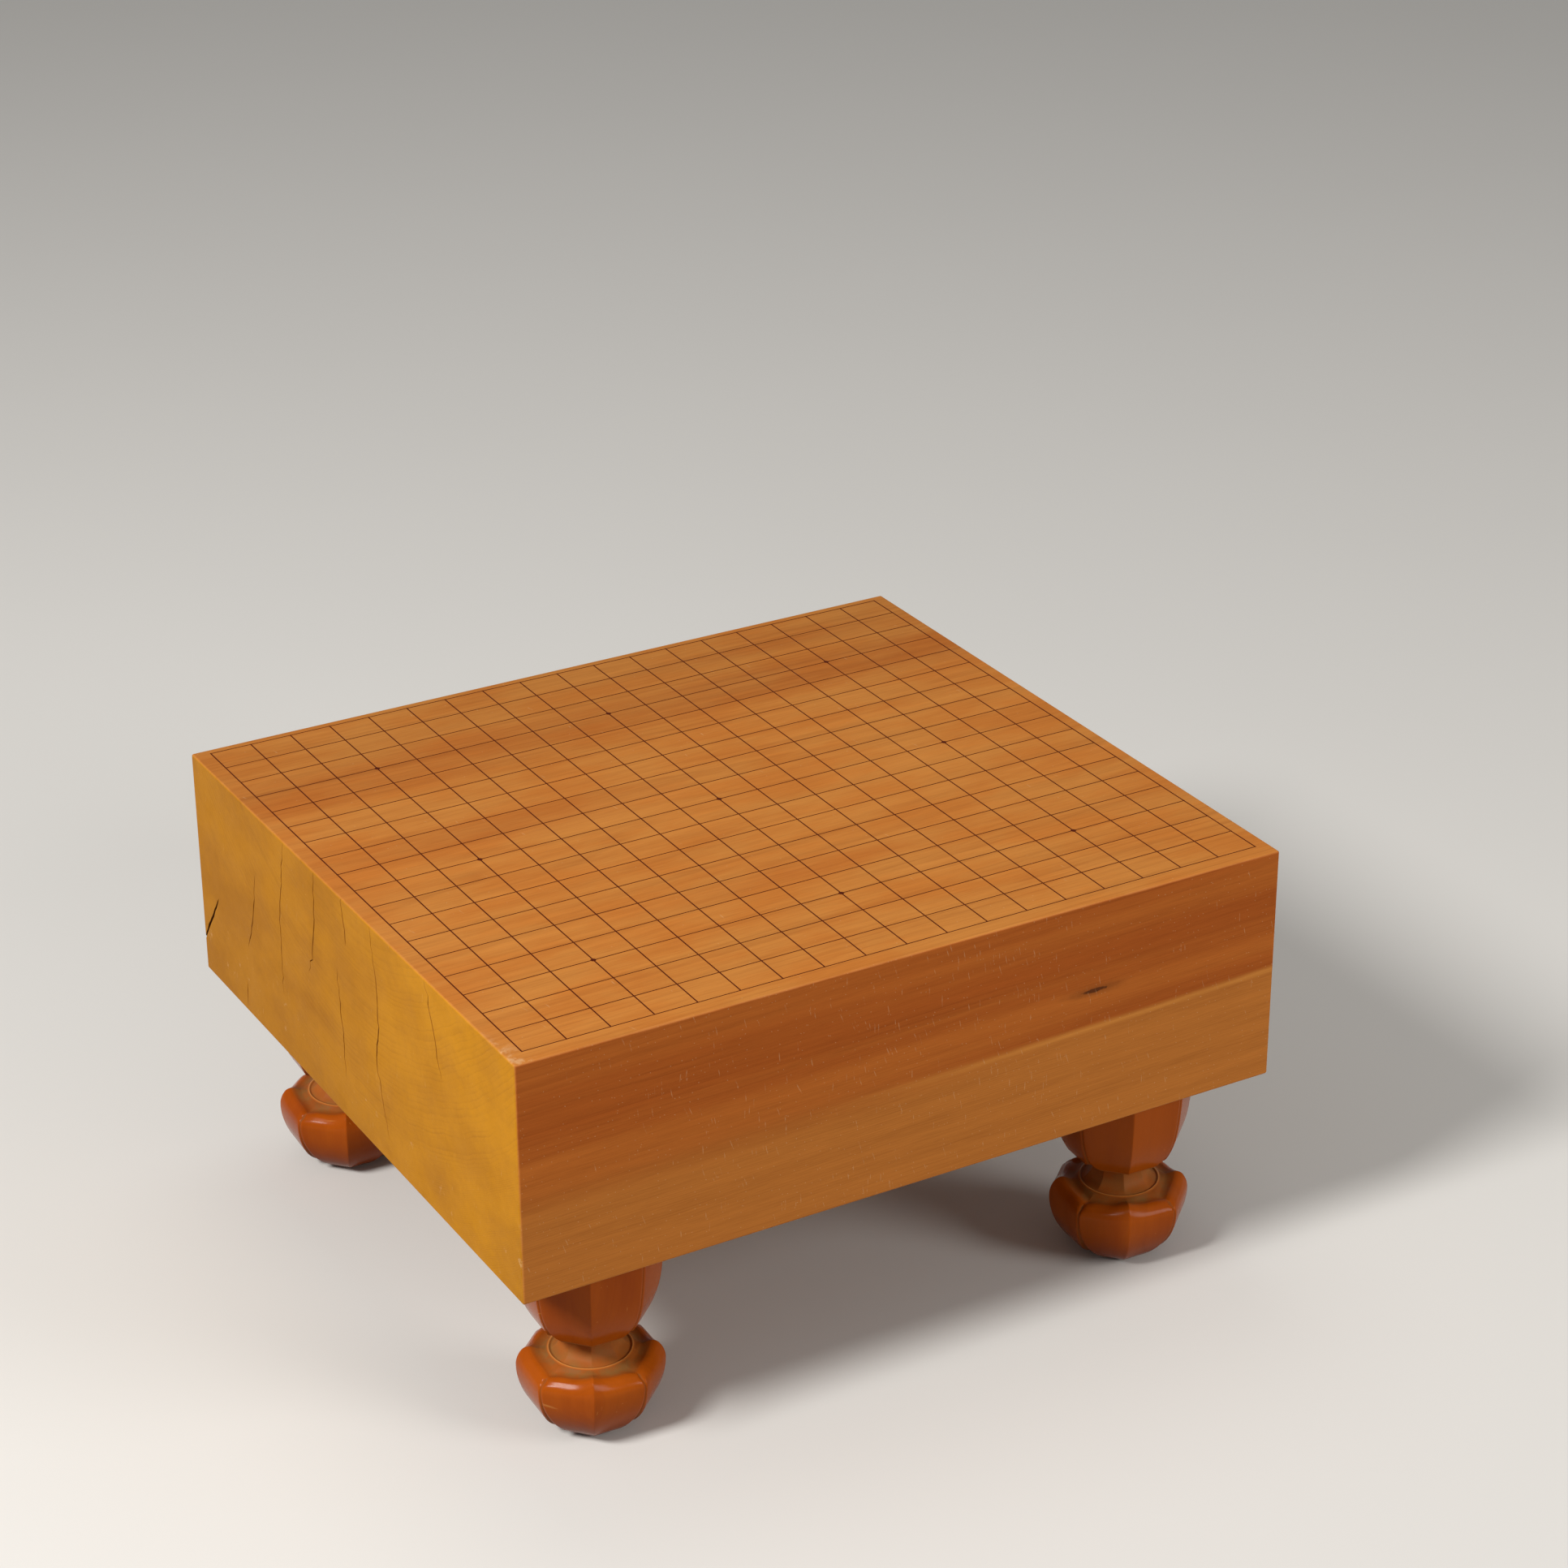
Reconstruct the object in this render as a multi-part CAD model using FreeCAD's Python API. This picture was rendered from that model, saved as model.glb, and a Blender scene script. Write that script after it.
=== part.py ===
import FreeCAD, Part
import math
import os
from FreeCAD import Vector

# A thick go board on four carved legs, in millimetres. +X runs along the grain of the block, +Y across
# it and +Z up. The origin is on the floor, under the middle of the block.

# Block
BLOCK_LENGTH = 454.5
BLOCK_WIDTH = 409.1
BLOCK_THICKNESS = 136.4
BLOCK_EDGE_BEVEL = 0.8

# Hollow in the middle of the underside, with a low mound left standing in it
HOLLOW_MOUTH = 130.0
HOLLOW_FLOOR = 118.0
HOLLOW_DEPTH = 28.0
MOUND_GROOVE = 22.0
MOUND_TOP = 54.0
MOUND_HEIGHT = 16.0

# Raised lacquer lines and star points. The grid is a little off the middle of the block. OUTSIDE_COUNT is
# how many lines run outside the outer star points.
LINE_COUNT = 19
OUTSIDE_COUNT = 3
LINE_PITCH_X = 24.24
LINE_PITCH_Y = 21.82
LINE_WIDTH = 0.9
LINE_RISE = 0.15
GRID_SHIFT_X = 0.6
GRID_SHIFT_Y = 2.6
STAR_DIAMETER = 3.0
STAR_SIDES = 8

# Legs: where they stand, how tall they are from the floor to the block, and by how many degrees the carving
# is turned on its tenon
LEG_INSET_X = 61.0
LEG_INSET_Y = 50.0
LEG_HEIGHT = 116.0
LEG_TURN = 2.5

# A leg is eight-sided. Each pair is the radius to its ridges and the height from the floor of a point that
# its outline passes through.
FOOT_RADIUS = 18.0
BULB_TURN = (31.8, 9.1)
BULB_WIDEST = (39.2, 33.6)
LIP_OUTER = (35.0, 43.4)
LIP_INNER = (32.0, 44.3)
BEAD_OUTER = (25.0, 43.6)
BEAD_CREST = (23.9, 44.7)
BEAD_INNER = (22.8, 43.7)
NECK = (14.5, 54.0)
UNDERSIDE = (20.6, 59.9)
RIM_INNER = (27.7, 60.4)
RIM = (29.0, 61.8)
CUP_BEND = (37.6, 85.0)
CUP_TOP_RADIUS = 39.8

# Grooves that part the four petals of the bulb and of the cup. The corners of a bulb petal pass through four
# points, each given by its distance in from the petal's widest line and its height. The round lower
# corner of a cup petal starts at a point of the outline.
GROOVE_DEPTH = 1.1
BULB_PETAL_FOOT = (19.5, 0.0)
BULB_PETAL_TURN = (6.2, 12.2)
BULB_PETAL_SHOULDER = (3.2, 41.6)
BULB_PETAL_END = (9.6, 44.1)
CUP_PETAL_CORNER = (33.2, 70.0)
CUP_PETAL_INSET = 8.0

# Square tenon on top of each leg, pushed into its mortise without glue
TENON_SIDE = 26.0
TENON_LENGTH = 38.0
TENON_CHAMFER = 2.0
TENON_FIT_GAP = 0.1
TENON_END_GAP = 2.0

SIDES = 8
PETALS = 4
HALF_SIDE = math.pi / SIDES
FLAT_SHARE = math.cos(HALF_SIDE)
PETAL_SHARE = math.sin(math.pi / PETALS)
UP = Vector(0, 0, 1)
DOWN = Vector(0, 0, -1)
AXIS = Vector(0, 0, 0)

BLOCK_TOP = LEG_HEIGHT + BLOCK_THICKNESS
REACH = 2 * CUP_TOP_RADIUS


def arcs(start, heading, *points):
    """Arcs through the points in turn: the first leaves along heading, and each is tangent to the last."""
    run = []
    for end in points:
        chord = end - start
        along = chord / chord.Length
        aim = (heading + along).normalize()
        middle = start + aim * (chord.Length / (2 * aim.dot(along)))
        run.append(Part.Arc(start, middle, end))
        heading = along * (2 * along.dot(heading)) - heading
        start = end
    return run


def lines(*points):
    return [Part.LineSegment(start, end) for start, end in zip(points, points[1:])]


def face_of(curves):
    edges = Part.sortEdges([curve.toShape() for curve in curves])[0]
    return Part.Face(Part.Wire(edges))


def frustum(low_side, high_side, low, high):
    """A square block with sloping sides, centred on the vertical axis."""
    a = low_side / 2
    b = high_side / 2
    lying = Part.makeWedge(-a, low, -a, -b, -b, a, high, a, b, b)
    return lying.rotated(AXIS, Vector(1, 0, 0), 90)


def bar(length, width, height):
    """A box centred on the vertical axis, standing on the ground plane."""
    return Part.makeBox(length, width, height, Vector(-length / 2, -width / 2, 0))


def leg_centres():
    """Names and places of the legs, seen by a player sitting at the -Y side."""
    x = BLOCK_LENGTH / 2 - LEG_INSET_X
    y = BLOCK_WIDTH / 2 - LEG_INSET_Y
    return {
        "leg_front_left": Vector(-x, -y, 0),
        "leg_front_right": Vector(x, -y, 0),
        "leg_back_left": Vector(-x, y, 0),
        "leg_back_right": Vector(x, y, 0),
    }


# Leg


def on_flat(point):
    """A point of the outline, as seen in the section through the middle of a flat side."""
    radius, height = point
    return Vector(radius * FLAT_SHARE, 0, height)


def on_petal_edge(point):
    """The same point, as seen across a petal at its edge, sunk by the depth of the groove."""
    radius, height = point
    return Vector((radius - GROOVE_DEPTH) * PETAL_SHARE, 0, height)


def cup_side(place, *ends):
    """The cup from the block down to the points that end it."""
    return arcs(place((CUP_TOP_RADIUS, LEG_HEIGHT)), DOWN, place(CUP_BEND), *ends)


def leg_outline():
    """Half of the section through the middle of a flat side."""
    foot = on_flat((FOOT_RADIUS, 0))
    top = on_flat((CUP_TOP_RADIUS, LEG_HEIGHT))
    widest = on_flat(BULB_WIDEST)
    lip_inner = on_flat(LIP_INNER)
    bead = [on_flat(point) for point in (BEAD_OUTER, BEAD_CREST, BEAD_INNER)]
    neck = on_flat(NECK)
    underside = [on_flat(point) for point in (UNDERSIDE, RIM_INNER, RIM)]
    return [
        *arcs(widest, DOWN, on_flat(BULB_TURN), foot),
        *arcs(widest, UP, on_flat(LIP_OUTER), lip_inner),
        *lines(lip_inner, *bead),
        *arcs(neck, DOWN, bead[-1]),
        *arcs(neck, UP, underside[0]),
        *lines(*underside),
        *cup_side(on_flat, underside[-1]),
        *lines(top, UP * LEG_HEIGHT, AXIS, foot),
    ]


def eight_sided(outline):
    """Eight mitred wedges of the same outline, joined round the axis."""
    spread = REACH * math.tan(HALF_SIDE)
    plan = [AXIS, Vector(REACH, -spread, 0), Vector(REACH, spread, 0), AXIS]
    wedge = Part.Face(Part.makePolygon(plan)).extrude(UP * LEG_HEIGHT)
    slab = face_of(outline).extrude(Vector(0, 2 * spread, 0)).translated(Vector(0, -spread, 0))
    side = slab.common(wedge)
    sides = [side.rotated(AXIS, UP, 360 / SIDES * turn) for turn in range(SIDES)]
    return sides[0].multiFuse(sides[1:]).removeSplitter()


def groove(edge, bottom, top, low, high):
    """What lies outside two neighbouring petals, whose edge climbs from bottom to top.

    The edge is drawn as seen across a petal. The two petals are at right angles to each other, so what
    neither of them keeps is a groove along the line where they meet.
    """
    above = [top, Vector(top.x, 0, high), Vector(REACH, 0, high)]
    below = [Vector(REACH, 0, low), Vector(bottom.x, 0, low), bottom]
    outside = face_of(edge + lines(*above, *below))
    beyond_first = outside.extrude(Vector(0, REACH, 0))
    beyond_second = outside.rotated(AXIS, UP, 90).extrude(Vector(REACH, 0, 0))
    return beyond_first.common(beyond_second)


def bulb_groove():
    """The corners of the petals are round, so the grooves widen towards the bead and the floor."""
    widest = on_petal_edge(BULB_WIDEST)
    corners = (BULB_PETAL_FOOT, BULB_PETAL_TURN, BULB_PETAL_SHOULDER, BULB_PETAL_END)
    foot, turn, shoulder, end = [Vector(widest.x - inset, 0, height) for inset, height in corners]
    edge = arcs(widest, DOWN, turn, foot) + arcs(widest, UP, shoulder) + lines(shoulder, end)
    return groove(edge, foot, end, -GROOVE_DEPTH, end.z + GROOVE_DEPTH)


def cup_groove():
    """The petals of the cup have round lower corners."""
    corner = on_petal_edge(CUP_PETAL_CORNER)
    inner = Vector(corner.x - CUP_PETAL_INSET, 0, RIM_INNER[1])
    edge = cup_side(on_petal_edge, corner, inner)
    top = on_petal_edge((CUP_TOP_RADIUS, LEG_HEIGHT))
    return groove(edge, inner, top, NECK[1], LEG_HEIGHT + GROOVE_DEPTH)


def tenon():
    shank = bar(TENON_SIDE, TENON_SIDE, TENON_LENGTH).translated(UP * LEG_HEIGHT)
    end = [edge for edge in shank.Edges if edge.BoundBox.ZMin > LEG_HEIGHT]
    return shank.makeChamfer(TENON_CHAMFER, end)


def leg():
    """Before its turn, flat sides face along and across the board, and ridges are half a side from them."""
    carved = eight_sided(leg_outline())
    grooves = [bulb_groove(), cup_groove()]
    ridge = 90 - 180 / SIDES
    for petal in range(PETALS):
        turn = ridge + 360 / PETALS * petal
        carved = carved.cut([tool.rotated(AXIS, UP, turn) for tool in grooves])
    return carved.rotated(AXIS, DOWN, LEG_TURN).fuse(tenon()).removeSplitter()


# Block


def hollow():
    """The cut for the hollow, less the mound, with its mouth on the underside."""
    cut = frustum(HOLLOW_MOUTH, HOLLOW_FLOOR, 0, HOLLOW_DEPTH)
    mound_foot = HOLLOW_FLOOR - 2 * MOUND_GROOVE
    mound = frustum(MOUND_TOP, mound_foot, HOLLOW_DEPTH - MOUND_HEIGHT, HOLLOW_DEPTH)
    return cut.cut(mound).translated(UP * LEG_HEIGHT)


def mortise(centre):
    side = TENON_SIDE + 2 * TENON_FIT_GAP
    return bar(side, side, TENON_LENGTH + TENON_END_GAP).translated(centre + UP * LEG_HEIGHT)


def board_block():
    block = bar(BLOCK_LENGTH, BLOCK_WIDTH, BLOCK_THICKNESS).translated(UP * LEG_HEIGHT)
    block = block.makeChamfer(BLOCK_EDGE_BEVEL, block.Edges)
    return block.cut([hollow()] + [mortise(centre) for centre in leg_centres().values()])


# Lacquer


def line_places(pitch, shift):
    middle = (LINE_COUNT - 1) / 2
    return [shift + pitch * (number - middle) for number in range(LINE_COUNT)]


def rectangle(left, right, front, back):
    corners = [(left, front), (right, front), (right, back), (left, back), (left, front)]
    return Part.makePolygon([Vector(x, y, BLOCK_TOP) for x, y in corners])


def star_points():
    """Nine drops of lacquer as high as the lines, each with a side towards each of its four lines."""
    turns = [2 * math.pi / STAR_SIDES * (side + 0.5) for side in range(STAR_SIDES + 1)]
    rim = [Vector(math.cos(turn), math.sin(turn), 0) * (STAR_DIAMETER / 2) for turn in turns]
    drop = Part.Face(Part.makePolygon(rim)).extrude(UP * LINE_RISE)
    xs = line_places(LINE_PITCH_X, GRID_SHIFT_X)
    ys = line_places(LINE_PITCH_Y, GRID_SHIFT_Y)
    crossed = (OUTSIDE_COUNT, LINE_COUNT // 2, LINE_COUNT - 1 - OUTSIDE_COUNT)
    places = [Vector(xs[i], ys[j], BLOCK_TOP) for i in crossed for j in crossed]
    return Part.makeCompound([drop.translated(place) for place in places])


def lacquer_lines():
    """All the lines as one raised net: a sheet with a hole for each cell and for each star point."""
    xs = line_places(LINE_PITCH_X, GRID_SHIFT_X)
    ys = line_places(LINE_PITCH_Y, GRID_SHIFT_Y)
    half = LINE_WIDTH / 2
    rim = rectangle(xs[0] - half, xs[-1] + half, ys[0] - half, ys[-1] + half)
    cells = [
        rectangle(left + half, right - half, front + half, back - half)
        for left, right in zip(xs, xs[1:])
        for front, back in zip(ys, ys[1:])
    ]
    sheet = Part.Face([rim] + cells)
    sheet.validate()
    return sheet.extrude(UP * LINE_RISE).cut(star_points()).removeSplitter()


def main():
    carved_leg = leg()
    parts = {"board_block": board_block(), "lacquer_lines": lacquer_lines(), "star_points": star_points()}
    for name, centre in leg_centres().items():
        parts[name] = carved_leg.translated(centre)
    os.makedirs("parts", exist_ok=True)
    for name, shape in parts.items():
        shape.exportStep(f"parts/{name}.step")


main()
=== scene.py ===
"""Thick go board on four carved legs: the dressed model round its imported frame, in metres."""

import functools
import itertools
import math

import bmesh
import bpy
import numpy as np
from mathutils import Matrix, Vector


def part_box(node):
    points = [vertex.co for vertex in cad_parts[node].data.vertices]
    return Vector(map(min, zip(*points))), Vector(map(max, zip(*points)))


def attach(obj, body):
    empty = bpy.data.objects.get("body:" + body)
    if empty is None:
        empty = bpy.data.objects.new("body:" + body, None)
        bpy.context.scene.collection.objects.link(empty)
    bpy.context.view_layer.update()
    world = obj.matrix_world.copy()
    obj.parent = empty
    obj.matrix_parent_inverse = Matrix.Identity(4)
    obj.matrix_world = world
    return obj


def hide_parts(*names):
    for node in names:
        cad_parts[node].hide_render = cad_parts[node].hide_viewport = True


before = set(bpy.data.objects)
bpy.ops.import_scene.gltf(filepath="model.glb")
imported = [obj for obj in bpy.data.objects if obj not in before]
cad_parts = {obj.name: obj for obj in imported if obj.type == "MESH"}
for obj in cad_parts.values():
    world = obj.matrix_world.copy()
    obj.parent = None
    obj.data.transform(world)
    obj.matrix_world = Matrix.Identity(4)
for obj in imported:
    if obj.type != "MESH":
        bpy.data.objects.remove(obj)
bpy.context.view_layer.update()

bl_info = {
    "name": "Go board on carved legs",
    "version": (1, 0, 0),
    "blender": (4, 5, 0),
    "location": "3D View > Sidebar > Go Board",
    "description": "Builds the block, the lacquer, the carved legs and the studio",
    "category": "Object",
}

MM = 0.001
BLOCK_LOW, BLOCK_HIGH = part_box("board_block")
BLOCK_TOP = BLOCK_HIGH.z / MM
NET_LOW, NET_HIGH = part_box("lacquer_lines")
CORNERS = ("front_left", "front_right", "back_left", "back_right")


# ---- Settings ----


def a_number(name, description, default, least=0.0, **more):
    return bpy.props.FloatProperty(name=name, description=description, default=default, min=least, **more)


def a_length(name, description, default, least=0.0):
    return a_number(name, description, default, least, unit="LENGTH", precision=5)


def a_count(name, description, default, least):
    return bpy.props.IntProperty(name=name, description=description, default=default, min=least)


def a_colour(name, description, default):
    return bpy.props.FloatVectorProperty(
        name=name, description=description, default=default, subtype="COLOR", min=0.0, max=1.0
    )


class BlockSettings(bpy.types.PropertyGroup):
    edge_round: a_length("Edge rounding", "How far the sharp edges are worn round", 0.00035)
    check_width: a_length("Check width", "Width of the widest drying check", 0.0013)
    check_depth: a_length("Check depth", "Depth of the drying checks", 0.0016)
    ring_spacing: a_length("Ring spacing", "Distance between growth rings", 0.0031, 0.0005)
    top_wood: a_colour("Top wood", "Wood of the playing surface", (0.470, 0.168, 0.030))
    heart_wood: a_colour("Heart wood", "Redder wood on the long sides", (0.35, 0.083, 0.013))
    sap_wood: a_colour("Outer wood", "Yellower wood below the heart", (0.45, 0.155, 0.029))
    end_wood: a_colour("End grain", "Wood of the two ends", (0.568, 0.242, 0.006))


class LacquerSettings(bpy.types.PropertyGroup):
    count: a_count("Lines", "Lines each way", 19, 2)
    outside: a_count("Outside lines", "Lines outside the outer star points", 3, 0)
    width: a_length("Line width", "Width of a lacquer line", 0.00078, 0.0001)
    star: a_length("Star point", "Diameter of a star point", 0.003, 0.0005)
    unevenness: a_length("Unevenness", "How far a line strays sideways", 0.00008)
    lacquer: a_colour("Lacquer", "Black lacquer", (0.070, 0.009, 0.002))


class LegSettings(bpy.types.PropertyGroup):
    ridge_softness: a_number("Ridge softness", "How round the ridges are", 0.008)
    valley: a_length("Valley", "Dip of the petals' lips between their ridges", 0.0031)
    horn: a_length("Lip rise", "Rise of a petal's lip at its ridge", 0.0006)
    petal_softness: a_length("Petal edge", "Rounding of the petals' edges", 0.0016)
    groove_depth: a_length("Groove depth", "Depth of the grooves between petals", 0.0011)
    turn: a_number("Turn", "Turn of the carving on its tenon", math.radians(65.0), subtype="ANGLE")
    tenon_side: a_length("Tenon side", "Side of the square tenon", 0.026, 0.001)
    tenon_length: a_length("Tenon length", "Length of the tenon", 0.038, 0.001)
    varnish: a_colour("Varnished wood", "Wood of the legs", (0.365, 0.073, 0.004))
    # Colour of the dirt, also laid as painted shade in the grooves, inside the bead and under the cup
    grime: a_colour("Grime", "Dirt in the dish and round the neck", (0.20, 0.105, 0.030))


class StageSettings(bpy.types.PropertyGroup):
    floor: a_colour("Floor", "Floor and backdrop, as they are seen", (0.67, 0.655, 0.63))
    bounce: a_colour("Bounce", "Floor as it lights the board from below", (0.36, 0.33, 0.29))
    key: a_number("Key light", "Power in watts", 110.0)
    fill: a_number("Fill light", "Power in watts", 42.0)
    lens: a_number("Lens", "Focal length in millimetres", 87.4, 1.0, subtype="DISTANCE_CAMERA")


SETTINGS = {
    "go_block": BlockSettings,
    "go_lacquer": LacquerSettings,
    "go_legs": LegSettings,
    "go_stage": StageSettings,
}


# ---- Node trees ----


def set_all(item, **values):
    for name, value in values.items():
        setattr(item, name, value)
    return item


def reckoned(operation, swapped=False):
    """A method of Value that adds the Math node for one operation."""

    def method(self, *others):
        values = (self, *others)
        return self.bench.math(operation, *(values[::-1] if swapped else values))

    return method


class Value:
    """An output of a node. Arithmetic on it adds the Math nodes that work it out."""

    def __init__(self, bench, socket):
        self.bench, self.socket = bench, socket

    __add__, __radd__ = reckoned("ADD"), reckoned("ADD", swapped=True)
    __sub__, __rsub__ = reckoned("SUBTRACT"), reckoned("SUBTRACT", swapped=True)
    __mul__, __truediv__, __pow__ = reckoned("MULTIPLY"), reckoned("DIVIDE"), reckoned("POWER")
    __lt__, __gt__ = reckoned("LESS_THAN"), reckoned("GREATER_THAN")
    __abs__, __round__, __floor__ = reckoned("ABSOLUTE"), reckoned("ROUND"), reckoned("FLOOR")
    root, sine, cosine, folded = reckoned("SQRT"), reckoned("SINE"), reckoned("COSINE"), reckoned("PINGPONG")

    def clamped(self):
        """Held between 0 and 1 by the node that makes it."""
        self.socket.node.use_clamp = True
        return self

    def smooth(self, low, high):
        """0 at low and before it, 1 at high and past it."""
        values = {0: self, 1: low, 2: high}
        return self.bench.get("ShaderNodeMapRange", values, interpolation_type="SMOOTHSTEP")

    def near(self, middle, reach):
        """1 at middle, falling to 0 at reach from it."""
        return abs(self - middle).smooth(reach, 0.0)

    def noise(self, scale, detail=3.0, roughness=0.5, output=0):
        values = {"Vector": self, "Scale": scale, "Detail": detail, "Roughness": roughness}
        return self.bench.get("ShaderNodeTexNoise", values, output)

    def patches(self, low, high, *how):
        """Noise turned into patches of 0 and 1 with soft edges."""
        return self.noise(*how).smooth(low, high)

    def cells(self, scale):
        """Distance to the middle of the nearest flat cell, and that cell's three random numbers."""
        values = {"Vector": self, "Scale": scale}
        distance, colour, *_ = self.bench.all("ShaderNodeTexVoronoi", values, voronoi_dimensions="2D")
        return distance, colour.parts()

    def ramp(self, stops):
        """Straight runs through the stops, each a place and a value."""
        ramped = self.bench.get("ShaderNodeValToRGB", {0: self})
        points = ramped.socket.node.color_ramp.elements
        while len(points) < len(stops):
            points.new(0.5)
        for point, (place, tone) in zip(points, stops):
            point.position, point.color = place, (tone, tone, tone, 1.0)
        return ramped

    def parts(self):
        return self.bench.all("ShaderNodeSeparateXYZ", {0: self})

    def vector(self, operation, other):
        """A Vector Math node. Only SCALE takes a plain number."""
        key = "Scale" if operation == "SCALE" else 1
        return self.bench.get("ShaderNodeVectorMath", {0: self, key: other}, operation=operation)

    def into(self, kind, values=None, **settings):
        """What a geometry node makes of this, its first input."""
        return self.bench.shape(kind, {0: self, **(values or {})}, **settings)


class Bench:
    """Adds nodes to one tree and wires them. An input is a number, a vector, a colour or a Value."""

    def __init__(self, tree):
        self.tree = tree

    def put(self, socket, value):
        if isinstance(value, Value):
            self.tree.links.new(value.socket, socket)
        else:
            socket.default_value = (*value, 1.0) if socket.type == "RGBA" else value

    def add(self, kind, values=None, **settings):
        node = set_all(self.tree.nodes.new(kind), **settings)
        for key, value in (values or {}).items():
            self.put(node.inputs[key], value)
        return node

    def all(self, kind, values=None, **settings):
        """All the outputs of a new node."""
        return [Value(self, socket) for socket in self.add(kind, values, **settings).outputs]

    def get(self, kind, values=None, output=0, **settings):
        """One output of a new node."""
        return Value(self, self.add(kind, values, **settings).outputs[output])

    def shape(self, kind, values=None, **settings):
        return self.get("GeometryNode" + kind, values, **settings)

    def math(self, operation, *values):
        return self.get("ShaderNodeMath", dict(enumerate(values)), operation=operation)

    def most(self, *values):
        return functools.reduce(functools.partial(self.math, "MAXIMUM"), values)

    def least(self, *values):
        return functools.reduce(functools.partial(self.math, "MINIMUM"), values)

    def whole(self, x, y, z):
        return self.get("ShaderNodeCombineXYZ", {0: x, 1: y, 2: z})

    def mix(self, share, first, second, blend="MIX"):
        values = {0: share, 6: first, 7: second}
        return self.get("ShaderNodeMix", values, 2, data_type="RGBA", blend_type=blend)

    def tinted(self, share, colour, factors):
        """A colour, with its three parts multiplied by the factors where share is 1."""
        return self.mix(share, colour, factors, "MULTIPLY")

    def toned(self, colour, tone):
        return self.mix(1.0, colour, self.whole(tone, tone, tone), "MULTIPLY")

    def use(self, build, values):
        """The outputs, by name, of a node group that is built once and has its function's name."""
        node = self.add("ShaderNodeGroup", node_tree=bpy.data.node_groups.get(build.__name__) or build())
        for name, value in values.items():
            self.put(node.inputs[name], value)
        return {socket.name: Value(self, socket) for socket in node.outputs}

    def mark(self, name):
        """A mark that is stored on the points of the mesh."""
        return self.get("ShaderNodeAttribute", output="Fac", attribute_name=name)


SOCKETS = {float: "NodeSocketFloat", int: "NodeSocketInt", "vector": "NodeSocketVector",
           "geometry": "NodeSocketGeometry", "material": "NodeSocketMaterial"}


def new_tree(name, kind, inputs, outputs):
    """A node group with named sockets: inputs maps a name to a default or a type, outputs to a type."""
    tree = bpy.data.node_groups.new(name, kind)
    for title, default in inputs.items():
        number = SOCKETS.get(type(default))
        socket = tree.interface.new_socket(title, in_out="INPUT", socket_type=number or SOCKETS[default])
        if number:
            socket.default_value = default
    for title, sort in outputs.items():
        tree.interface.new_socket(title, in_out="OUTPUT", socket_type=SOCKETS[sort])
    bench = Bench(tree)
    given = {socket.name: Value(bench, socket) for socket in tree.nodes.new("NodeGroupInput").outputs}
    return bench, given, tree.nodes.new("NodeGroupOutput").inputs


def shape_tree(name, inputs):
    """A node group that takes a mesh, sizes and a material, and puts out a shape."""
    inputs = {"Geometry": "geometry", **inputs, "Material": "material"}
    return new_tree(name, "GeometryNodeTree", inputs, {"Geometry": "geometry"})


def put_out(bench, given, result, geometry):
    """End a shape's tree with plain geometry in its material."""
    dressed = geometry.into("RealizeInstances").into("SetMaterial", {"Material": given["Material"]})
    bench.put(result["Geometry"], dressed)
    return bench.tree


# ---- Finishes ----


def solid_wood():
    """Wood right through: growth rings round an axis along X, and fibres along it, in millimetres."""
    inputs = {"Vector": "vector", "Spacing": 3.0, "Wobble": 3.0, "Close from": 300.0, "Ring contrast": 0.3,
              "Fibre contrast": 0.2}
    outputs = {"Tone": float, "Height": float, "Radius": float}
    bench, given, result = new_tree("solid_wood", "ShaderNodeTree", inputs, outputs)
    along, across, height = given["Vector"].parts()

    def stretched(share):
        return bench.whole(along * share, across, height)

    # Rings that wander, crowd together past a radius, and differ in strength
    long_grain = stretched(0.12)
    wander = (long_grain.noise(0.018, 2.0) - 0.5) * given["Wobble"]
    wander += (long_grain.noise(0.11, 2.0) - 0.5) * 1.4
    radius = (across * across + height * height).root() + wander
    uneven = bench.whole(radius, 0.0, 0.0).noise(0.06, 2.0)
    closer = bench.most(radius - given["Close from"], 0.0)
    rings = radius / given["Spacing"] + (closer * 0.6 + uneven * 5.0)
    late = bench.math("FRACT", rings).ramp([(0.0, 0.0), (0.55, 0.2), (0.88, 1.0), (1.0, 0.0)])
    ring_number = bench.whole(math.floor(rings), 0.0, 0.0)
    late *= ring_number.patches(0.25, 0.75, 3.7, 0.0) * 0.75 + 0.25
    late *= long_grain.patches(0.3, 0.7, 0.05) * 0.8 + 0.2

    fibres = stretched(0.045).noise(1.1, 4.0, 0.65)
    streaks = stretched(0.03).noise(0.16, 4.0, 0.6)
    both = (fibres - 0.5) + (streaks - 0.5)
    bench.put(result["Tone"], 1.0 - late * given["Ring contrast"] + both * given["Fibre contrast"])
    bench.put(result["Height"], fibres - late * 0.6)
    bench.put(result["Radius"], radius)
    return bench.tree


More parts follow.
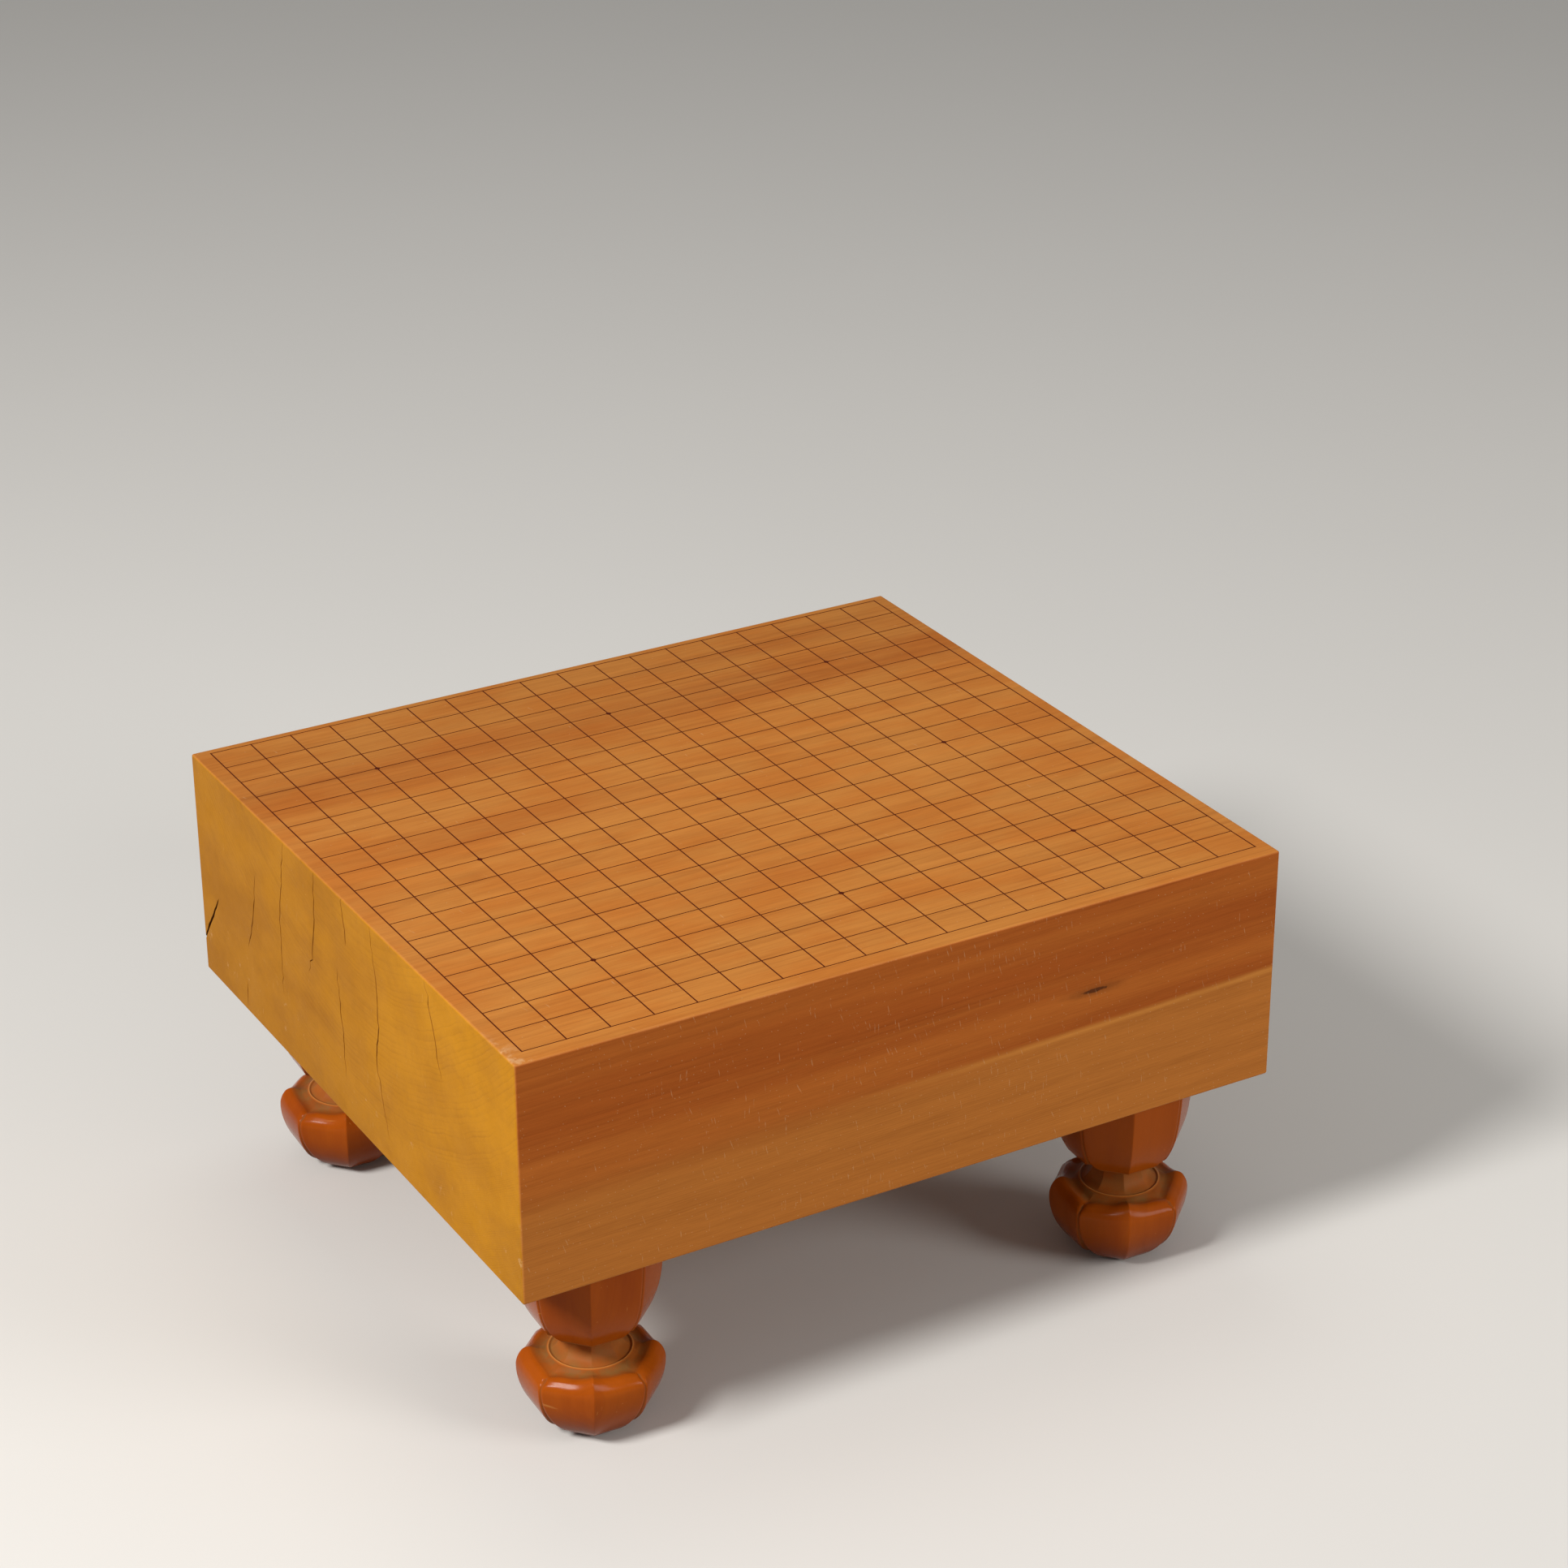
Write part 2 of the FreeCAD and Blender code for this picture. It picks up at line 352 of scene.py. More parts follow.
def scuffs():
    """Short scratches and specks. Vector lies in the surface, in millimetres, scratches along its Y."""
    inputs = {"Vector": "vector", "Length": 8.0, "Amount": 0.5, "Specks": 0.3}
    bench, given, result = new_tree("scuffs", "ShaderNodeTree", inputs, {"Scratches": float, "Specks": float})
    surface = given["Vector"]
    bent = surface.vector("ADD", surface.noise(0.04, 0.0, output="Color").vector("SCALE", 9.0))
    x, y, z = bent.parts()
    distance, chances = bench.whole(x, y / given["Length"], z).cells(0.4)
    level = given["Amount"] * (surface.patches(0.35, 0.7, 0.014, 2.0) * 1.4 + 0.1)
    thin = distance.smooth(0.14, 0.05) * (chances[0] < level)
    bench.put(result["Scratches"], thin * surface.patches(0.38, 0.62, 0.35))
    distance, chances = bent.cells(0.22)
    bench.put(result["Specks"], distance.smooth(0.085, 0.03) * (chances[1] < given["Specks"]))
    return bench.tree


class Finish(Bench):
    """The bench of a new material, with its shader's inputs and the place on the piece in millimetres."""

    def __init__(self, name):
        self.material = bpy.data.materials.new(name)
        self.material.use_nodes = True
        super().__init__(self.material.node_tree)
        self.inputs = self.tree.nodes["Principled BSDF"].inputs
        self.place = self.get("ShaderNodeTexCoord", output="Object").vector("SCALE", 1 / MM)

    def dressed(self, colour, roughness, height, specular, strength, distance):
        """The material with its colour, its roughness and a bump that follows the height."""
        bump = self.get("ShaderNodeBump", {"Strength": strength, "Distance": distance, "Height": height})
        looks = {"Base Color": colour, "Roughness": roughness, "Normal": bump, "Specular IOR Level": specular}
        for name, value in looks.items():
            self.put(self.inputs[name], value)
        return self.material


# Places in the board's grain, in millimetres. The pith of the tree runs outside the block: above its top,
# in front of its middle, and climbing along X
PITH_ABOVE, PITH_IN_FRONT, PITH_CLIMB = 187.0, 13.0, 0.021
# Distance from the pith at which the heart ends
HEART_END = 326.0
# Redder streaks of the top: place across, reach, place along, strength. One more runs all along it.
STREAKS = ((32.0, 30.0, -130.0, 0.7), (-95.0, 18.0, -20.0, 0.6), (172.0, 16.0, 150.0, 0.7))
LONG_STREAK, LONG_STREAK_REACH, STREAK_LENGTH = 122.0, 34.0, 170.0
# Knot in the front: place along and down from the top, and half its length and height
KNOT_ALONG, KNOT_DOWN, KNOT_LENGTH, KNOT_HEIGHT = 110.0, 52.0, 9.5, 1.5

# Colours of small places
KNOT_WOOD = (0.05, 0.014, 0.006)
WORN_WOOD = (0.58, 0.24, 0.075)
SCUFFED_WOOD = (0.66, 0.42, 0.22)
BARE_WOOD = (0.50, 0.30, 0.14)
CHECK_LIP = (0.32, 0.105, 0.010)
# Painted shade deep inside a check
SHADED_CHECK_FLOOR = (0.08, 0.024, 0.005)
# Paler varnish: worn on the bead's crest, and painted light there and on the neck's flare
WORN_AND_LIT_VARNISH = (0.62, 0.27, 0.07)
THIN_LACQUER = (0.14, 0.030, 0.006)


def board_colour(bench, settings, wood, on_end, on_top):
    """Straight grain on top, a red heart on the sides, ochre end grain with blotches."""
    x, y, z = bench.place.parts()
    depth = BLOCK_TOP - z
    radius = wood["Radius"]
    bands = bench.whole(x * 0.0008, radius * 0.05, 0.0).patches(0.36, 0.68, 1.0, 3.0, 0.6)

    # Long sides: the heart gives way to outer wood along a line that is crisp on the right
    crisp = x.smooth(-90.0, 130.0)
    outer = bench.mix(crisp, radius.smooth(HEART_END - 14.0, HEART_END + 12.0),
                      radius.smooth(HEART_END - 3.0, HEART_END))
    seam = radius.near(HEART_END + 0.5, 2.2) * crisp
    heart = bench.tinted(bands, settings.heart_wood, (1.25, 1.5, 1.6))
    side = bench.mix(outer, heart, settings.sap_wood)
    side = bench.mix(seam * 0.6, side, bench.tinted(1.0, settings.sap_wood, (1.3, 1.5, 1.6)))

    # Top: redder streaks, mottling, and a little darker towards the back
    strayed = y + (bench.whole(x * 0.10, y, z).noise(0.03, 2.0) - 0.5) * 30.0
    streak = strayed.near(LONG_STREAK, LONG_STREAK_REACH)
    for across, reach, along, share in STREAKS:
        streak += strayed.near(across, reach) * x.near(along, STREAK_LENGTH) * share
    streak = (streak * (bands * 0.5 + 0.5)).clamped()
    upper = bench.tinted(streak * 0.75, settings.top_wood, (0.78, 0.60, 0.52))
    mottle = bench.whole(x * 0.35, y, z).patches(0.36, 0.66, 0.035, 4.0, 0.6)
    upper = bench.mix(mottle, bench.tinted(1.0, upper, (1.0, 1.06, 1.16)),
                      bench.tinted(1.0, upper, (0.96, 0.89, 0.84)))
    upper = bench.mix(y.smooth(30.0, 190.0) * 0.12, upper, (0.0, 0.0, 0.0))

    # Ends: smudges, which gather at the back and low down
    smudge = bench.whole(x, y, z * 1.8).patches(0.34, 0.70, 0.016, 5.0, 0.62)
    deep = y.smooth(-170.0, 110.0) * 0.45 + depth.smooth(20.0, 110.0) * 0.15 + 0.15
    ends = bench.tinted((smudge * 0.45 + deep).clamped(), settings.end_wood, (0.66, 0.60, 1.0))
    return bench.mix(on_end, bench.mix(on_top, side, upper), ends)


def board_wood(settings):
    """Satin softwood with a knot, worn edges, scratches on the long sides and pale worn patches."""
    bench = Finish("board_wood")
    place = bench.place
    x, y, z = place.parts()
    nx, ny, nz = bench.get("ShaderNodeTexCoord", output="Normal").parts()
    half_length, half_width = BLOCK_HIGH.x / MM, BLOCK_HIGH.y / MM
    depth = BLOCK_TOP - z
    on_end, on_top, level = [value.smooth(0.45, 0.85) for value in (abs(nx), nz, abs(nz))]
    on_side = 1.0 - bench.most(on_end, level)
    wood = bench.use(solid_wood, {
        "Vector": bench.whole(x, y + PITH_IN_FRONT, z - (BLOCK_TOP + PITH_ABOVE) - x * PITH_CLIMB),
        "Spacing": settings.ring_spacing / MM, "Wobble": 9.0,
        "Ring contrast": on_end * -0.02 + 0.15, "Fibre contrast": on_end * -0.18 + 0.32})
    colour = board_colour(bench, settings, wood, on_end, on_top)

    knot_x, knot_z = (x - KNOT_ALONG) / KNOT_LENGTH, (depth - KNOT_DOWN) / KNOT_HEIGHT
    knot = (knot_x * knot_x + knot_z * knot_z).root() + (place.noise(0.3) - 0.5) * 0.9
    knot = bench.most(knot.smooth(2.8, 0.6) * 0.35, knot.smooth(1.15, 0.6) * 0.85)
    colour = bench.mix(knot * ny.smooth(-0.45, -0.85), colour, KNOT_WOOD)

    tone = wood["Tone"]
    colour = bench.toned(colour, tone)
    colour = bench.tinted(((1.0 - tone) * 0.9).clamped(), colour, (0.8, 0.5, 0.4))

    # How far in from each pair of faces. An edge is as far as the greater of its two, and the nearest counts
    gaps = (half_length - abs(x), half_width - abs(y), bench.least(depth, z - BLOCK_LOW.z / MM))
    edge = bench.least(*[bench.most(*pair) for pair in itertools.combinations(gaps, 2)])
    worn = (edge + place.noise(0.09, 4.0) * 1.6).smooth(2.1, 0.9)
    colour = bench.mix(worn * 0.28, colour, WORN_WOOD)

    # Places across and up a face, whichever face it is
    flat_x = (y - x) * on_end + x
    flat_y = (y - z) * level + z
    marks = bench.use(scuffs, {
        "Vector": bench.whole(flat_y * 0.18 + flat_x, flat_y, 0.0), "Length": 10.0,
        "Amount": on_side * x.near(0.0, 260.0) * 0.85 + 0.03, "Specks": on_side * 0.37 + 0.03})
    chalky = place.noise(0.11, 5.0, 0.7)
    low_end = on_end * depth.near(112.0, 34.0) * chalky.smooth(0.60, 0.72)
    corner = (gaps[0] + (y + half_width) * 0.35).smooth(18.0, 4.0) * x.smooth(0.0, -5.0)
    corner *= chalky.smooth(0.46, 0.62) * on_top
    pale = bench.most(marks["Scratches"] * 0.28, marks["Specks"] * 0.32, bench.most(low_end, corner) * 0.45)
    colour = bench.mix(pale, colour, SCUFFED_WOOD)

    # Bare wood inside the hollow and the mortises
    bare = bench.least(*gaps).smooth(0.3, 0.9)
    colour = bench.mix(bare * 0.7, colour, BARE_WOOD)
    rough = place.noise(0.05, 4.0) * 0.18 + 0.36 + bench.most(pale, bare) * 0.3
    height = wood["Height"] - marks["Scratches"] * 1.5
    return bench.dressed(colour, rough, height, specular=0.04, strength=0.22, distance=0.0002)


def check_wood():
    """Inside of a drying check: torn wood, darker the further in, which is painted shade."""
    bench = Finish("drying_check")
    sunk = BLOCK_HIGH.x / MM - abs(bench.place.parts()[0])
    torn = bench.place.noise(0.9, 4.0, 0.7)
    # Painted shade: darker the further into the check
    colour = bench.mix((torn * 0.5 + sunk).smooth(0.25, 1.1), CHECK_LIP, SHADED_CHECK_FLOOR)
    return bench.dressed(colour, torn * 0.2 + 0.7, torn, specular=0.1, strength=0.5, distance=0.0003)


def leg_wood(settings):
    """Glossy varnish over carved wood: dirt where a cloth doesn't reach, painted shade in the creases and
    towards the foot, and painted light on the neck.
    """
    bench = Finish("leg_wood")
    x, y, z = bench.place.parts()
    wood = bench.use(solid_wood, {
        "Vector": bench.whole(z, x + 70.0, y + 40.0), "Spacing": 3.4, "Wobble": 10.0,
        "Ring contrast": 0.07, "Fibre contrast": 0.16})
    broad = bench.whole(x, y, z * 0.25).patches(0.35, 0.7, 0.03)
    colour = bench.toned(bench.tinted(broad, settings.varnish, (0.80, 0.70, 0.7)), wood["Tone"])
    # Painted shade: darker towards the foot
    colour = bench.tinted(z.smooth(30.0, 2.0) * 0.65, colour, (0.55, 0.42, 0.4))
    # Dirt in the dish and round the neck, and painted shade in the grooves, inside the bead and under the cup
    dirt_and_shade = bench.mark("dirt_and_shade")
    spread = bench.place.patches(0.35, 0.68, 0.09, 5.0, 0.6)
    dirt_and_shade_share = dirt_and_shade.smooth(0.05, 1.0) * (spread * 0.55 + 0.28)
    colour = bench.mix(dirt_and_shade_share, colour, settings.grime)
    marks = bench.use(scuffs, {
        "Vector": bench.whole(x + y, z, 0.0), "Length": 5.0, "Amount": 0.05, "Specks": 0.04})
    # Paler where scratched, worn on the bead's crest, and painted light there and on the neck's flare
    pale = bench.most(bench.most(marks["Scratches"], marks["Specks"]) * 0.45, bench.mark("worn_and_lit") * 0.75)
    colour = bench.mix(pale, colour, WORN_AND_LIT_VARNISH)
    rough = dirt_and_shade.smooth(0.1, 0.6) * 0.35 + (bench.place.noise(0.12, 4.0) * 0.11 + 0.135)
    height = wood["Height"] * 0.4 + bench.place.noise(0.10, 2.0)
    return bench.dressed(colour, rough, height, specular=0.075, strength=0.12, distance=0.0003)


def black_lacquer(settings):
    """Brush-laid lacquer, worn thin and brown in places."""
    bench = Finish("black_lacquer")
    thin = bench.place.patches(0.5, 0.75, 0.12, 4.0, 0.6)
    colour = bench.mix(thin * 0.5, settings.lacquer, THIN_LACQUER)
    brushed = bench.place.noise(1.2)
    return bench.dressed(colour, thin * 0.2 + 0.4, brushed, specular=0.04, strength=0.2, distance=0.0001)


# ---- Shapes ----


def finished(piece, body, slot, *nodes):
    """Tie a piece to its body and hide the solids that it stands for. The slot is not used."""
    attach(piece, body)
    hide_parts(*nodes)
    return piece


def new_object(name, data):
    item = bpy.data.objects.new(name, data)
    bpy.context.scene.collection.objects.link(item)
    return item


def new_mesh(name, built, material):
    """A mesh in one material from a bmesh, which is used up."""
    mesh = bpy.data.meshes.new(name)
    built.to_mesh(mesh)
    built.free()
    mesh.materials.append(material)
    return mesh


def evaluated_mesh(piece):
    """The piece's mesh with its modifiers applied."""
    bpy.context.view_layer.update()
    return bpy.data.meshes.new_from_object(piece.evaluated_get(bpy.context.evaluated_depsgraph_get()))


def grown(name, source, tree, values):
    """A plain object made by running a tree over a source mesh. The source is used up."""
    maker = new_object(name + "_maker", source)
    modifier = maker.modifiers.new("grow", "NODES")
    modifier.node_group = tree
    for item in tree.interface.items_tree:
        if item.in_out == "INPUT" and item.name in values:
            modifier[item.identifier] = values[item.name]
    mesh = evaluated_mesh(maker)
    bpy.data.objects.remove(maker)
    mesh.name = name
    return new_object(name, mesh)


def joined(name, pieces):
    """One object from several plain ones."""
    built = bmesh.new()
    for piece in pieces:
        built.from_mesh(piece.data)
    whole = new_object(name, new_mesh(name, built, pieces[0].data.materials[0]))
    for piece in pieces:
        bpy.data.objects.remove(piece)
    return whole


def walked(line):
    """Distance along a line up to each of its points."""
    return np.r_[0, np.cumsum(np.hypot(*np.diff(line, axis=0).T))]


def resampled(line, places):
    """The points of a line at some distances along it."""
    return np.transpose([np.interp(places, walked(line), values) for values in line.T])


# ---- Block ----

# Drying checks of the two ends, as places across the board and down from its top, in millimetres
LEFT_CHECKS = (
    ((74.5, -1.0), (82.0, 28.0), (86.5, 50.0), (87.5, 78.0), (88.0, 100.0)),
    ((119.0, 38.0), (124.0, 60.0), (131.0, 80.0), (137.0, 93.0)),
    ((34.2, -1.0), (37.5, 34.0), (44.0, 58.0), (50.0, 68.0)),
    ((-1.5, -1.0), (-2.5, 14.0), (-4.0, 27.0)),
    ((9.5, 45.0), (9.0, 62.0), (6.5, 85.0), (5.0, 113.0)),
    ((-36.2, -1.0), (-42.0, 32.0), (-41.5, 58.0), (-36.5, 78.0), (-41.0, 98.0), (-49.0, 122.0)),
    ((-102.8, -1.0), (-110.0, 20.0), (-115.0, 38.0), (-119.0, 52.0)),
    ((142.0, 116.0), (144.5, 135.0)),
)
RIGHT_CHECKS = (
    ((-60.0, 4.0), (-66.0, 30.0), (-64.0, 62.0), (-70.0, 88.0)),
    ((28.0, 2.5), (31.0, 25.0), (26.0, 52.0), (29.0, 96.0), (33.0, 110.0)),
    ((95.0, 20.0), (99.0, 48.0), (97.0, 70.0)),
    ((-8.0, 60.0), (-5.0, 84.0), (-9.0, 104.0)),
)
FISSURE = ((178.0, 80.0), (184.0, 88.0), (191.0, 98.0), (199.0, 109.0), (207.0, 121.0))
FISSURE_SEED = 40

# Sizes of the checks in metres: how far they stray, the length of a kink, and how far a cutter stands out
CHECK_STRAY, FISSURE_STRAY, KINK_LENGTH, CUTTER_PROUD = 0.0006, 0.0004, 0.004, 0.0004
FISSURE_WIDTH, FISSURE_DEPTH = 0.0022, 0.009
# Shares of a check's width and depth: at its tips, the least depth elsewhere, and a cutter's flare
TIP_WIDTH, TIP_DEPTH, LEAST_DEPTH, CUTTER_FLARE = 0.15, 0.25, 0.3, 1.2


def crooked(points, seed, stray):
    """A line through the points with small seeded kinks, as (y, down, share of width), widest midway."""
    chance = np.random.default_rng(seed)
    given = np.array(points, float) * MM
    total = walked(given)[-1]
    line = resampled(given, np.linspace(0, total, max(4, int(total / KINK_LENGTH))))
    line[1:-1] += chance.normal(0, stray, (len(line) - 2, 2))
    swell = np.sin(np.linspace(0.12, math.pi - 0.2, len(line))) ** 0.6
    return [(*place, share) for place, share in zip(line, swell * chance.uniform(0.6, 1.0, len(line)))]


def check_cutter(points, width, depth, face_x, inward):
    """A wedge along a crooked line on an end of the block. Each point is (y, down, share of width)."""
    built = bmesh.new()
    rows = []
    final = len(points) - 1
    for index, (y, down, share) in enumerate(points):
        at_tip = index in (0, final)
        centre = Vector((face_x, y, BLOCK_HIGH.z - down))
        ahead = Vector(points[min(index + 1, final)][:2]) - Vector(points[max(index - 1, 0)][:2])
        ahead.normalize()
        aside = Vector((0, ahead.y, ahead.x)) * (width * share / 2)
        aside = aside * (TIP_WIDTH if at_tip else 1.0) * CUTTER_FLARE
        out = Vector((-inward * CUTTER_PROUD, 0, 0))
        into = Vector((inward * depth * (TIP_DEPTH if at_tip else max(share, LEAST_DEPTH)), 0, 0))
        rows.append([built.verts.new(centre + place) for place in (out - aside, out + aside, into)])
    for low, high in zip(rows, rows[1:]):
        for i in range(3):
            built.faces.new((low[i], low[(i + 1) % 3], high[(i + 1) % 3], high[i]))
    built.faces.new(rows[0][::-1])
    built.faces.new(rows[-1])
    bmesh.ops.recalc_face_normals(built, faces=built.faces)
    return built


def make_block(settings):
    """The block: a merged copy of its solid, with worn edges and drying checks cut into its ends."""
    built = bmesh.new()
    built.from_mesh(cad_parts["board_block"].data)
    bmesh.ops.remove_doubles(built, verts=built.verts, dist=1e-6)
    bmesh.ops.dissolve_limit(built, angle_limit=0.01, verts=built.verts, edges=built.edges)
    board = new_object("board", new_mesh("board", built, board_wood(settings)))
    set_all(board.modifiers.new("worn edges", "BEVEL"), width=settings.edge_round, segments=2,
            limit_method="ANGLE", angle_limit=math.radians(20))
    ends = [(line, BLOCK_LOW.x, 1) for line in LEFT_CHECKS]
    ends += [(line, BLOCK_HIGH.x, -1) for line in RIGHT_CHECKS]
    width, depth = settings.check_width, settings.check_depth
    cutters = [check_cutter(crooked(line, seed, CHECK_STRAY), width, depth, face_x, inward)
               for seed, (line, face_x, inward) in enumerate(ends)]
    fissure = crooked(FISSURE, FISSURE_SEED, FISSURE_STRAY)
    cutters.append(check_cutter(fissure, FISSURE_WIDTH, FISSURE_DEPTH, BLOCK_LOW.x, 1))
    torn = check_wood()
    tools = [new_object("check", new_mesh("check", cutter, torn)) for cutter in cutters]
    for tool in tools:
        set_all(board.modifiers.new("check", "BOOLEAN"), operation="DIFFERENCE", solver="EXACT",
                material_mode="TRANSFER", object=tool)
    carved = evaluated_mesh(board)
    board.modifiers.clear()
    board.data = carved
    for tool in tools:
        bpy.data.objects.remove(tool)
    carved.shade_flat()
    return finished(board, "board", "board_wood", "board_block")


# ---- Lacquer ----

# The lines along the grain are thinner, as a share of the others
ALONG_SHARE = 0.8
# Depth of a stroke's tube that is kept below the wood, before it is squashed, in metres
TUBE_SUNK = 0.00005


def line_tree():
    """Straight strokes of lacquer side by side, each a low rounded ridge that varies a little."""
    bench, given, result = shape_tree("lacquer_lines", {
        "Lines": 19, "Start": "vector", "Step": "vector", "Stroke": "vector", "Width": 0.0009,
        "Rise": 0.00015, "Unevenness": 0.0001})
    starts = bench.shape("MeshLine", {
        "Count": given["Lines"], "Start Location": given["Start"], "Offset": given["Step"]}, mode="OFFSET")
    stroke = bench.shape("CurvePrimitiveLine", {"End": given["Stroke"]})
    line = starts.into("InstanceOnPoints", {"Instance": stroke}).into("RealizeInstances")
    line = line.into("ResampleCurve", {"Count": 49})
    spot = bench.shape("InputPosition")
    sway = spot.noise(22.0, 2.0, output="Color").vector("SUBTRACT", (0.5, 0.5, 0.5))
    sway = sway.vector("MULTIPLY", (1, 1, 0)).vector("SCALE", given["Unevenness"])
    swell = bench.least(spot.noise(60.0, 2.0) * 0.5 + 0.62, 1.0)
    line = line.into("SetPosition", {"Offset": sway}).into("SetCurveRadius", {"Radius": swell})
    half = given["Width"] * 0.5
    circle = bench.shape("CurvePrimitiveCircle", {"Resolution": 8, "Radius": half})
    tube = line.into("CurveToMesh", {"Profile Curve": circle, "Fill Caps": True})

    # Squash the tube: its top to the height of the lacquer, its lower half to just inside the wood
    x, y, z = spot.parts()
    level = given["Start"].parts()[2]
    lifted = bench.most(z - level, -TUBE_SUNK) / half
    flat = tube.into("SetPosition", {"Position": bench.whole(x, y, lifted * given["Rise"] + level)})
    return put_out(bench, given, result, flat.into("SetShadeSmooth"))


def star_tree():
    """A low drop of lacquer on each point of the source mesh."""
    bench, given, result = shape_tree("star_points", {"Diameter": 0.003, "Rise": 0.00015})
    drop = bench.shape("MeshUVSphere", {"Segments": 24, "Rings": 10, "Radius": 0.5})
    size = bench.whole(given["Diameter"], given["Diameter"], given["Rise"] * 2.0)
    laid = given["Geometry"].into("InstanceOnPoints", {"Instance": drop, "Scale": size})
    return put_out(bench, given, result, laid.into("SetShadeSmooth"))


def make_lacquer(settings):
    """The two sets of lines, and the star points where they cross."""
    count, half = settings.count, settings.width / 2
    low = Vector((NET_LOW.x + half, NET_LOW.y + half, BLOCK_HIGH.z))
    high = Vector((NET_HIGH.x - half, NET_HIGH.y - half, BLOCK_HIGH.z))
    rise = NET_HIGH.z - BLOCK_HIGH.z
    step = (high - low) / (count - 1)
    reach_x, reach_y = high.x - low.x + 2 * half, high.y - low.y + 2 * half
    ink = black_lacquer(settings)
    tree = line_tree()
    sets = []
    for name, start, pitch, stroke, share in (
        ("lines_across", low - Vector((0, half, 0)), (step.x, 0, 0), (0, reach_y, 0), 1.0),
        ("lines_along", low - Vector((half, 0, 0)), (0, step.y, 0), (reach_x, 0, 0), ALONG_SHARE),
    ):
        sets.append(grown(name, bpy.data.meshes.new(name), tree, {
            "Lines": count, "Start": start, "Step": pitch, "Stroke": stroke, "Width": settings.width * share,
            "Rise": rise, "Unevenness": settings.unevenness, "Material": ink}))
    lines = finished(joined("lacquer_net", sets), "board", "black_lacquer", "lacquer_lines")
    crossed = (settings.outside, count // 2, count - 1 - settings.outside)
    spots = bpy.data.meshes.new("star_spots")
    spots.from_pydata([low + Vector((step.x * i, step.y * j, 0)) for i in crossed for j in crossed], [], [])
    stars = grown("lacquer_stars", spots, star_tree(), {
        "Diameter": settings.star, "Rise": rise, "Material": ink})
    return lines, finished(stars, "board", "black_lacquer", "star_points")


# ---- Legs ----

SIDES = 8
PETALS = 4
HALF_SIDE = math.pi / SIDES
HALF_PETAL = math.pi / PETALS
FLAT_SHARE = math.cos(HALF_SIDE)
PETAL_SHARE = math.sin(HALF_PETAL)
DOWNWARD, UPWARD = (0, -1), (0, 1)

# Leg outline, as (radius to the ridges, height from the floor) in millimetres
LEG_HEIGHT = 116.0
FOOT = (18.0, 0.0)
BULB_TURN = (30.9, 9.4)
BULB_WIDEST = (39.2, 33.6)
LIP_OUTER = (36.0, 42.1)
LIP_INNER = (31.6, 43.9)
DISH = (27.0, 42.5)
BEAD_OUTER = (23.1, 42.8)
BEAD_CREST = (22.0, 43.8)
BEAD_INNER = (20.9, 42.9)
NECK = (14.5, 54.0)
UNDERSIDE = (20.6, 59.9)
RIM_INNER = (27.7, 60.4)
RIM = (29.0, 61.8)
CUP_BEND = (37.6, 85.0)
CUP_TOP = (39.8, LEG_HEIGHT)
# Height that parts the marks of the bulb from those of the cup
PARTING = 50.0

# Edge of a petal of the bulb: distance in from its widest line, and height
BULB_PETAL = {"foot": (19.5, 0.0), "turn": (6.2, 12.2), "shoulder": (1.7, 40.6), "end": (3.9, 43.9)}
CUP_PETAL_CORNER = (33.2, 70.0)
CUP_PETAL_INSET = 8.0

# The outline is worked out at fine steps, and has a row for so much of its length or so much of its turn
FINE_STEP, ROW_LENGTH, ROW_TURN = 0.1, 2.2, math.radians(11)
# Softening of its corners, and where that is cut off, in fine steps
CORNER_SPREAD, CORNER_REACH = 4.0, 15

# Shares of half a petal's columns that lie on its face and over its edge
FACE_SHARE, EDGE_SHARE = 0.5, 0.3125
# Turn in radians that the edge's columns take to each side of it, and the least that the face's columns take
EDGE_TURN, LEAST_TURN = 0.055, 0.02
# Chamfer of the tenon and how far it is let into the leg, in metres
TENON_CHAMFER, LET_IN = 0.002, 0.001


def turned(heading, angle):
    c, s = math.cos(angle), math.sin(angle)
    return np.array([c * heading[0] - s * heading[1], s * heading[0] + c * heading[1]])


def arc_run(start, heading, *ends, step=0.2):
    """Points of tangent arcs from start through the ends: each leaves along the heading that the last had."""
    run = [np.array(start, float)]
    for end in ends:
        first = run[-1]
        chord = np.array(end, float) - first
        size = np.hypot(*chord)
        bend = math.atan2(heading[0] * chord[1] - heading[1] * chord[0], np.dot(heading, chord))
        for share in np.linspace(0, 1, max(3, int(size / step)))[1:]:
            turn = bend * share
            reach = size * (math.sin(turn) / math.sin(bend) if abs(bend) > 1e-6 else share)
            run.append(first + reach * turned(heading, turn))
        heading = turned(heading, 2 * bend)
    return np.array(run)


def on_flat(point):
    return point[0] * FLAT_SHARE, point[1]


def eased(values, start, end):
    """0 at start and before it, 1 at end and past it."""
    return np.clip((values - start) / (end - start), 0, 1)


